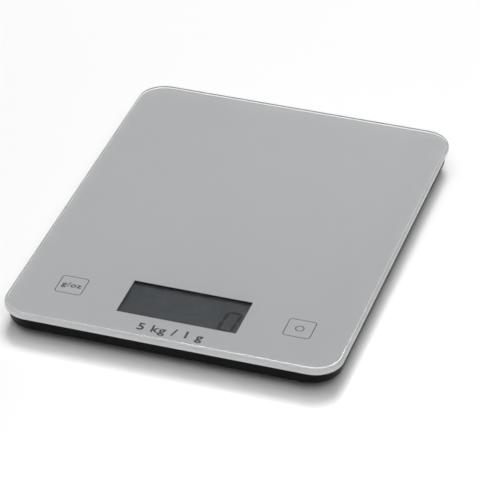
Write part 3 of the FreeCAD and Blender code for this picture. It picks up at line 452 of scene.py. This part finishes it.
def segment(x0, y0, x1, y1):
    """One display segment from end to end, pointed at both ends, leaned by the digit's slant."""
    start = Vector((x0, y0))
    end = Vector((x1, y1))
    along = (end - start).normalized()
    across = Vector((-along.y, along.x)) * STROKE / 2.0
    start = start + along * STROKE_GAP
    end = end - along * STROKE_GAP
    point = along * STROKE / 2.0
    corners = (start, start + point + across, end - point + across,
               end, end - point - across, start + point - across)
    return [(DIGIT_AT.x + corner.x + corner.y * SLANT, DIGIT_AT.y + corner.y)
            for corner in corners]


half_w = (DIGIT_W - STROKE) / 2.0
half_h = (DIGIT_H - STROKE) / 2.0
strokes = {
    "a": segment(-half_w, half_h, half_w, half_h),
    "b": segment(half_w, 0.0, half_w, half_h),
    "c": segment(half_w, -half_h, half_w, 0.0),
    "d": segment(-half_w, -half_h, half_w, -half_h),
    "e": segment(-half_w, -half_h, -half_w, 0.0),
    "f": segment(-half_w, 0.0, -half_w, half_h),
}
segment_finish = moulded("driven_segment", (0.09, 0.092, 0.096), (0.1, 0.102, 0.106), 2000.0,
                         (0.5, 0.6), 0.00001, 0.03)
printed("lcd_digit_zero", [strokes[letter] for letter in DRIVEN],
        lcd_high.z + POLARISER_T, lcd_high.z + POLARISER_T + SEGMENT_T, segment_finish)

# ---------------------------------------------------------------- tape and pads
# Black foam tape between the glass and the tray, open celled at its cut edge, and soft
# foam pads on the posts under the middle of the glass.
foam_black = moulded("foam_black", (0.014, 0.014, 0.014), (0.026, 0.026, 0.026), 1500.0,
                     (0.7, 0.85), 0.00008, 0.2)
dress(foam_black, "adhesive_tape", "glass_pads")

# ---------------------------------------------------------------- print on the glass
# The back of the glass is screen printed: fine silver all over except at the window,
# dark key outlines and marks in front of it, and smoked ink across the window.
glass_low, glass_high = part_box("glass_platform")
silver_low, silver_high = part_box("silver_print")
window_low, window_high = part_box("smoked_window")
GLASS_CORNER_R = 0.015
SILVER_MARGIN = 0.0007
SILVER_DARK = (0.345, 0.346, 0.352)
SILVER_LIGHT = (0.365, 0.366, 0.372)
FLAKES = 5200.0  # cells per metre
FLAKE_EDGE = (0.35, 0.65)
FLAKE_RISE = 0.000002
FLAKE_STRENGTH = 0.12
FLAKE_METAL = 0.05
FLAKE_SHINE = 0.2
SILVER_SATIN = (0.5, 0.56)
SQUEEGEE = 9.0
SQUEEGEE_STRETCH = (1.0, 0.25, 1.0)
CORNER_STEPS = 24
SILVER_IN = 0.00003
WINDOW_IN = 0.00002
MARKS_IN = 0.00005


def rounded(x0, y0, x1, y1, radius, steps):
    """A rectangle's outline with rounded corners, anticlockwise."""
    outline = []
    for cx, cy, first in ((x1 - radius, y1 - radius, 0.0), (x0 + radius, y1 - radius, 90.0),
                          (x0 + radius, y0 + radius, 180.0), (x1 - radius, y0 + radius, 270.0)):
        for step in range(steps + 1):
            turn = math.radians(first + 90.0 * step / steps)
            outline.append((cx + radius * math.cos(turn), cy + radius * math.sin(turn)))
    return outline


def flaked_silver(name):
    """Silver screen ink: aluminium flakes in clear binder, part dull and part metal."""
    finish, nodes, links, shader = new_finish(name)
    flakes = noise_on(nodes, links, FLAKES, 1.0)
    squeegee = noise_on(nodes, links, SQUEEGEE, 2.0, SQUEEGEE_STRETCH)
    blend_colours(nodes, links, flakes, SILVER_DARK, SILVER_LIGHT, shader.inputs["Base Color"],
                  *FLAKE_EDGE)
    vary(nodes, links, squeegee, *SILVER_SATIN, shader.inputs["Roughness"])
    emboss(nodes, links, flakes, FLAKE_RISE, FLAKE_STRENGTH, shader)
    shader.inputs["Metallic"].default_value = FLAKE_METAL
    shader.inputs["Specular IOR Level"].default_value = FLAKE_SHINE
    return finish


silver_outline = rounded(glass_low.x + SILVER_MARGIN, glass_low.y + SILVER_MARGIN,
                         glass_high.x - SILVER_MARGIN, glass_high.y - SILVER_MARGIN,
                         GLASS_CORNER_R - SILVER_MARGIN, CORNER_STEPS)
window_outline = rectangle(window_low.x, window_low.y, window_high.x, window_high.y)
silver_layer = printed("silver_back_print", [silver_outline, window_outline],
                       silver_low.z, silver_high.z + SILVER_IN,
                       flaked_silver("silver_ink"))
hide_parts("silver_print")

# Smoked ink is a dark transparent film with a faint mottle.
INK_BODY = 0.15  # share of the film that is solid ink
INK_CLEAR_DARK = (0.76, 0.755, 0.75)
INK_CLEAR_LIGHT = (0.81, 0.805, 0.8)
INK_SOLID = (0.008, 0.008, 0.009, 1.0)
INK_MOTTLE = 240.0
INK_SATIN = 0.6
INK_SHINE = 0.02


def smoked_ink(name):
    """Dark see-through ink: mostly clear film, with a thin dark body."""
    finish, nodes, links, shader = new_finish(name)
    film = nodes.new("ShaderNodeBsdfTransparent")
    mottle = noise_on(nodes, links, INK_MOTTLE)
    blend_colours(nodes, links, mottle, INK_CLEAR_DARK, INK_CLEAR_LIGHT, film.inputs["Color"])
    shader.inputs["Base Color"].default_value = INK_SOLID
    shader.inputs["Roughness"].default_value = INK_SATIN
    shader.inputs["Specular IOR Level"].default_value = INK_SHINE
    both = nodes.new("ShaderNodeMixShader")
    both.inputs["Fac"].default_value = INK_BODY
    links.new(film.outputs["BSDF"], both.inputs[1])
    links.new(shader.outputs["BSDF"], both.inputs[2])
    links.new(both.outputs["Shader"], nodes["Material Output"].inputs["Surface"])
    return finish


window_layer = printed("smoked_window_ink", [window_outline], silver_low.z,
                       silver_high.z + WINDOW_IN, smoked_ink("smoked_ink"))
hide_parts("smoked_window")

# ---------------------------------------------------------------- marks
# Thin dark outlines round the two touch keys, with a generic unit mark in the left one
# and a zero-setting ring in the right one, and the weighing range below the window.
KEY_W = 0.0146
KEY_LINE = 0.00042
KEY_CORNER_R = 0.0018
KEY_STEPS = 8
LEFT_MARK_H = 0.0056
LEFT_MARK_WEIGHT = 0.00011
RANGE_MARK_AT = (0.0, -0.1072)
RANGE_MARK_H = 0.0082
RANGE_MARK_WEIGHT = 0.0002
RING_R = 0.0024
RING_LINE = 0.0005
RING_STEPS = 48
MARK_SPACING = 1.12
LETTER_STEPS = 4
keys_low, keys_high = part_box("key_outlines")
key_frames = ((keys_low.x, keys_low.x + KEY_W), (keys_high.x - KEY_W, keys_high.x))
dark_ink = moulded("dark_ink", (0.006, 0.006, 0.0065), (0.01, 0.01, 0.0105), 2600.0,
                   (0.45, 0.55), 0.00001)

outlines = []
for x0, x1 in key_frames:
    outlines.append(rounded(x0, keys_low.y, x1, keys_high.y, KEY_CORNER_R, KEY_STEPS))
    outlines.append(rounded(x0 + KEY_LINE, keys_low.y + KEY_LINE,
                            x1 - KEY_LINE, keys_high.y - KEY_LINE,
                            KEY_CORNER_R - KEY_LINE, KEY_STEPS))
key_layer = printed("key_frames", outlines, keys_low.z, silver_high.z + MARKS_IN,
                    dark_ink)
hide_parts("key_outlines")


def lettered(name, words, at, size, weight):
    """A plain printed mark, centred at a point."""
    text = bpy.data.curves.new(name, "FONT")
    text.body = words
    text.size = size
    text.align_x = "CENTER"
    text.align_y = "CENTER"
    text.extrude = (silver_high.z + MARKS_IN - silver_low.z) / 2.0
    text.offset = weight
    text.space_character = MARK_SPACING
    text.resolution_u = LETTER_STEPS
    piece = settle(name, text, (silver_high.z + MARKS_IN + silver_low.z) / 2.0, dark_ink)
    for point in piece.data.vertices:
        point.co.x += at[0]
        point.co.y += at[1]
    return piece


keys_y = (keys_low.y + keys_high.y) / 2.0
left_x = sum(key_frames[0]) / 2.0
right_x = sum(key_frames[1]) / 2.0
lettered("unit_mark", "g/oz", (left_x, keys_y), LEFT_MARK_H, LEFT_MARK_WEIGHT)
lettered("range_mark", "5 kg / 1 g", RANGE_MARK_AT, RANGE_MARK_H, RANGE_MARK_WEIGHT)


def ring(radius):
    """A full circle's outline round the right key's middle."""
    turns = (2.0 * math.pi * step / RING_STEPS for step in range(RING_STEPS))
    return [(right_x + radius * math.cos(turn), keys_y + radius * math.sin(turn))
            for turn in turns]


printed("zero_mark", [ring(RING_R), ring(RING_R - RING_LINE)], silver_low.z,
        silver_high.z + MARKS_IN, dark_ink)

# ---------------------------------------------------------------- glass
# Toughened float glass, 4 mm thick, with satin pencil-ground edges: a fuller round on top
# and a smaller one below.
TOP_ROUND = 0.0013
BOTTOM_ROUND = 0.0009
ROUND_STEPS = 8
CAP_HOLD = 0.0003
ROLLER_WAVE = 0.000004
WAVE_PATCHES = 14.0
WAVE_STRENGTH = 0.15
SMEAR_PATCHES = 30.0
SMEAR_DETAIL = 4.0
SMEAR_SATIN = (0.0, 0.03)
GLASS_TINT = (0.86, 0.878, 0.876, 1.0)
GLASS_IOR = 1.52
EDGE_SATIN = 0.3
FLAT_FACE = 0.9998  # upright part of the surface's direction on the faces
ROUND_FACE = 0.993

profile = [(BOTTOM_ROUND + CAP_HOLD, glass_low.z)]
for step in range(ROUND_STEPS + 1):
    turn = math.radians(90.0 * step / ROUND_STEPS)
    profile.append((BOTTOM_ROUND * (1.0 - math.sin(turn)),
                    glass_low.z + BOTTOM_ROUND * (1.0 - math.cos(turn))))
for step in range(ROUND_STEPS + 1):
    turn = math.radians(90.0 * step / ROUND_STEPS)
    profile.append((TOP_ROUND * (1.0 - math.cos(turn)),
                    glass_high.z - TOP_ROUND * (1.0 - math.sin(turn))))
profile.append((TOP_ROUND + CAP_HOLD, glass_high.z))

pane = bmesh.new()
loops = []
for inset, height in profile:
    outline = rounded(glass_low.x + inset, glass_low.y + inset,
                      glass_high.x - inset, glass_high.y - inset,
                      GLASS_CORNER_R - inset, CORNER_STEPS)
    loops.append([pane.verts.new((x, y, height)) for x, y in outline])
for lower, upper in zip(loops, loops[1:]):
    for index in range(len(lower)):
        beside = (index + 1) % len(lower)
        pane.faces.new((lower[index], lower[beside], upper[beside], upper[index]))
pane.faces.new(tuple(reversed(loops[0])))
pane.faces.new(loops[-1])
for face in pane.faces:
    face.smooth = True
pane_mesh = bpy.data.meshes.new("glass_pane")
pane.to_mesh(pane_mesh)
pane.free()


def float_glass(name):
    """Clear soda-lime glass: mirror-smooth faces with a slight wave, and a satin edge."""
    finish, nodes, links, shader = new_finish(name)
    wave = noise_on(nodes, links, WAVE_PATCHES, 1.0)
    emboss(nodes, links, wave, ROLLER_WAVE, WAVE_STRENGTH, shader)
    smears = noise_on(nodes, links, SMEAR_PATCHES, SMEAR_DETAIL)
    facing = nodes.new("ShaderNodeNewGeometry")
    upward = nodes.new("ShaderNodeSeparateXYZ")
    flatness = nodes.new("ShaderNodeMath")
    flatness.operation = "ABSOLUTE"
    ground = nodes.new("ShaderNodeMapRange")
    ground.inputs["From Min"].default_value = FLAT_FACE
    ground.inputs["From Max"].default_value = ROUND_FACE
    ground.inputs["To Max"].default_value = EDGE_SATIN
    links.new(facing.outputs["Normal"], upward.inputs["Vector"])
    links.new(upward.outputs["Z"], flatness.inputs[0])
    links.new(flatness.outputs["Value"], ground.inputs["Value"])
    vary(nodes, links, smears, *SMEAR_SATIN, ground.inputs["To Min"])
    links.new(ground.outputs["Result"], shader.inputs["Roughness"])
    shader.inputs["Base Color"].default_value = GLASS_TINT
    shader.inputs["Transmission Weight"].default_value = 1.0
    shader.inputs["IOR"].default_value = GLASS_IOR
    return finish


glass_pane = as_piece("glass_pane", pane_mesh, float_glass("float_glass"))
glass_pane.visible_shadow = False
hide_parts("glass_platform")
